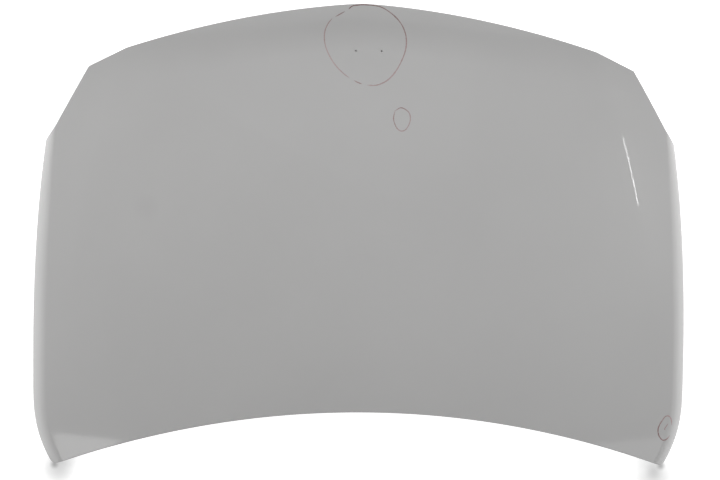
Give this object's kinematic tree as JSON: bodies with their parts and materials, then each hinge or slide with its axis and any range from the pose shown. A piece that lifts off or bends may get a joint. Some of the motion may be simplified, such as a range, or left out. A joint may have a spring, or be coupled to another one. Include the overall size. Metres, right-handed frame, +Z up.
{
  "type": "car bonnet",
  "caption": "Pressed steel car bonnet with a rolled nose, swept lamp corners and a hollowed rear edge, a windowed inner frame hemmed under the skin, lock striker and hinge reinforcements.",
  "frame": {"origin": "on the floor under the middle of the panel, with the bonnet lying outer face up", "axes": "+X across the car, +Y along the car to the nose, +Z up through the outer face"},
  "size_m": [1.5, 1.061, 0.1292],
  "materials": {
    "grey_paint": "light grey paint, smooth and glossy, with faint marker strokes",
    "frame_paint": "thinner and duller coat of the same grey",
    "zinc_steel": "zinc plated, satin",
    "black_rubber": "matt black rubber",
    "black_plastic": "moulded black plastic",
    "mastic": "cured grey mastic"
  },
  "bodies": {
    "root": {"outer_panel": "grey_paint", "inner_panel": "frame_paint", "hinge_reinforcement_left": "zinc_steel", "hinge_weld_nut_left_rear": "zinc_steel", "hinge_weld_nut_left_front": "zinc_steel", "hinge_reinforcement_right": "zinc_steel", "hinge_weld_nut_right_rear": "zinc_steel", "hinge_weld_nut_right_front": "zinc_steel", "striker_reinforcement": "zinc_steel", "striker_base": "zinc_steel", "striker_bow": "zinc_steel", "striker_weld_nut_left": "zinc_steel", "striker_bolt_left": "zinc_steel", "front_buffer_left": "black_rubber", "side_buffer_left": "black_rubber", "striker_weld_nut_right": "zinc_steel", "striker_bolt_right": "zinc_steel", "front_buffer_right": "black_rubber", "side_buffer_right": "black_rubber", "prop_rod_bush": "black_plastic", "mastic_bead_01": "mastic", "mastic_bead_02": "mastic", "mastic_bead_03": "mastic", "mastic_bead_04": "mastic", "mastic_bead_05": "mastic", "mastic_bead_06": "mastic", "mastic_bead_07": "mastic", "mastic_bead_08": "mastic", "mastic_bead_09": "mastic", "mastic_bead_10": "mastic", "mastic_bead_11": "mastic", "mastic_bead_12": "mastic", "mastic_bead_13": "mastic", "mastic_bead_14": "mastic", "mastic_bead_15": "mastic", "mastic_bead_16": "mastic", "mastic_bead_17": "mastic", "mastic_bead_18": "mastic", "mastic_bead_19": "mastic", "mastic_bead_20": "mastic"}
  },
  "joints": []
}
